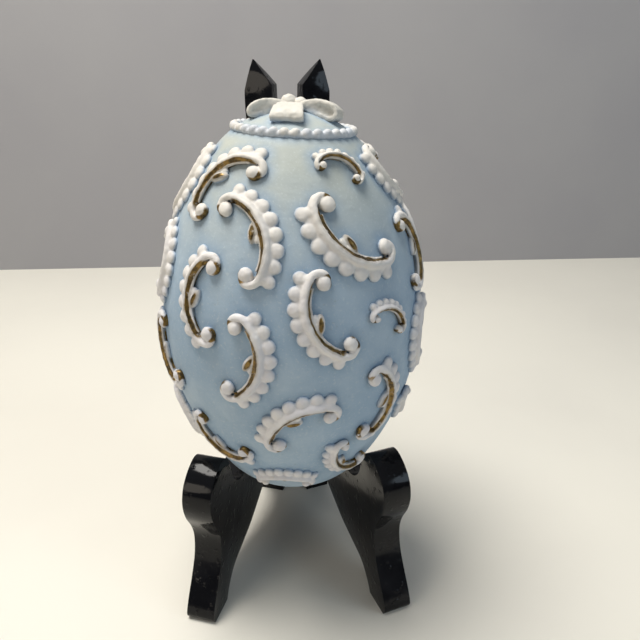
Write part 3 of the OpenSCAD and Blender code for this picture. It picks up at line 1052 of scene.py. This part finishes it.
def ribbon_loop(name, angle, fat, narrow, wide, twist, floor_shift, floor_thick):
    line = loop_line(fat)
    loop = join([ribbon_strip(name, line, narrow, wide),
                 loop_floor(name + "_floor", line, floor_shift, floor_thick)], name)
    melt(loop, 0.2 * MM, rounds=22)
    hand_made(loop, 0.35 * MM)
    stand = Matrix.Translation((0, 0, EGG_H))
    turn = Matrix.Rotation(math.radians(angle - 90), 4, "Z")
    roll_over = Matrix.Rotation(math.radians(twist), 4, "X")
    loop.data.transform(crown_turn @ stand @ turn @ roll_over)
    return loop

# Angles and leans are in degrees, the rest in millimetres
LOOPS = {
    "bow_loop_front": dict(
        angle=-11, fat=3.0, narrow=3.0, wide=8.2, twist=2, floor_shift=0, floor_thick=5),
    "bow_loop_left": dict(
        angle=-86, fat=3.7, narrow=3.2, wide=7.2, twist=5, floor_shift=0.6, floor_thick=4.6),
    "bow_loop_right": dict(
        angle=72, fat=4.3, narrow=3.0, wide=7.0, twist=-5, floor_shift=-0.8, floor_thick=3.2),
    "bow_loop_back": dict(
        angle=172, fat=3.6, narrow=3.2, wide=7.2, twist=0, floor_shift=0, floor_thick=3.6)}
none_selected()
for node, shape in LOOPS.items():
    loop = ribbon_loop(node + "_ribbon", **shape)
    keep_lift(loop, 2.4 * MM)
    on_egg_points.append(points_of(loop)[::6])
    loop.data.transform(egg_frame)
    smooth(loop)
    finish_piece(loop, "egg", bow_cream, node)
print(len(LOOPS), "loops of ribbon")

# %% The knot: two folds of ribbon side by side
def folded_knot():
    parts = []
    for side, size in ((-1, 1.0), (1, 0.88)):
        middle = Vector((side * 1.45, -0.3 * side, 1.5 - 0.15 * side)) * MM
        parts.append(lump("fold", middle, (1.95 * size, 2.6 * size, 2.0 * size), side * 16))
    parts.append(lump("knot_base", (0, 0, 0), (2.8, 2.8, 1.7)))
    knot = join(parts, "knot")
    melt(knot, 0.2 * MM, rounds=3)
    hand_made(knot, 0.4 * MM)
    knot.data.transform(crown_turn @ Matrix.Translation((0, 0, EGG_H)))
    return knot

none_selected()
knot = folded_knot()
keep_lift(knot, 2.0 * MM)
on_egg_points.append(points_of(knot)[::3])
knot.data.transform(egg_frame)
smooth(knot)
finish_piece(knot, "egg", bow_cream, "bow_knot")
print("knot:", len(knot.data.polygons), "faces")

# %% [markdown]
# ## Painted shade: deeper blue beside the ornaments
#
# The egg's paint deepens its blue as painted shade near the ornaments, so it
# asks how near each spot is to an ornament. A KD tree of the ornaments' points
# answers that quickly, and the answer is kept on the egg's own mesh, so that it
# stays with it in every view and export.

# %% Measure the egg against its ornaments
def painted_shade_beside_relief(reach):
    near = np.concatenate(on_egg_points)
    near = near[height_above_egg(near) < 0.5 * MM]
    tree = KDTree(len(near))
    for index, point in enumerate(near):
        tree.insert(point, index)
    tree.balance()
    points = into_egg(points_of(egg))
    gaps = np.array([tree.find(point)[2] for point in points])
    # The attribute beside places the painted shade on the egg.
    beside = egg.data.attributes.new("beside", "FLOAT", "POINT")
    beside.data.foreach_set("value", np.clip(1 - gaps / reach, 0, 1) ** 1.5)
    return len(near)

print("measured against", painted_shade_beside_relief(3.2 * MM), "points")

# %% [markdown]
# ## The two boards
#
# The boards' outline is right in the frame, but a sawn and dipped board has
# no sharp edge. So a copy of each, free of the frame's own notes, is merged,
# its flat faces are made whole, and Bevel rounds the edges before the lacquer
# goes on. The hinges and the screws stay as they are and get their brass.

# %% Round the edges of the boards
def dipped_board(node, body):
    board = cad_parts[node].copy()
    board.data = board.data.copy()
    board.parent = None
    for key in list(board.keys()):
        del board[key]
    bpy.context.scene.collection.objects.link(board)
    board.name = board.data.name = node + "_dipped"
    edit(board)
    bpy.ops.mesh.remove_doubles(threshold=0.01 * MM)
    bpy.ops.mesh.dissolve_limited(angle_limit=math.radians(1.0))
    object_mode()
    apply_modifier(board, "BEVEL", width=1.0 * MM, segments=5, limit_method="ANGLE",
                   angle_limit=math.radians(35), harden_normals=False)
    smooth(board, sharp_from=32)
    return finish_piece(board, body, lacquer, node)

none_selected()
for node, body in (("left_board", "left_side"), ("right_board", "right_side")):
    board = dipped_board(node, body)
    print(board.name, len(board.data.polygons), "faces")

# %% Brass for the hinges and the screws
hinge_nodes = [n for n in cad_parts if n.endswith(("_leaf", "_pin", "_screws"))]
for node in hinge_nodes:
    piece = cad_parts[node]
    piece.data.materials.clear()
    piece.data.materials.append(brass)
print("brass on", len(hinge_nodes), "nodes")

# %% [markdown]
# ## Print both sizes and finish
#
# Both boxes, the frame's and the shown model's, are printed. The visual model may not
# outgrow the frame.

# %% Print the two boxes and finish
none_selected()
shown_box = [list(corner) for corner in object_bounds()]
for name, box in (("frame", cad_box), ("shown", shown_box)):
    print(name, [[round(value / MM, 2) for value in corner] for corner in box])
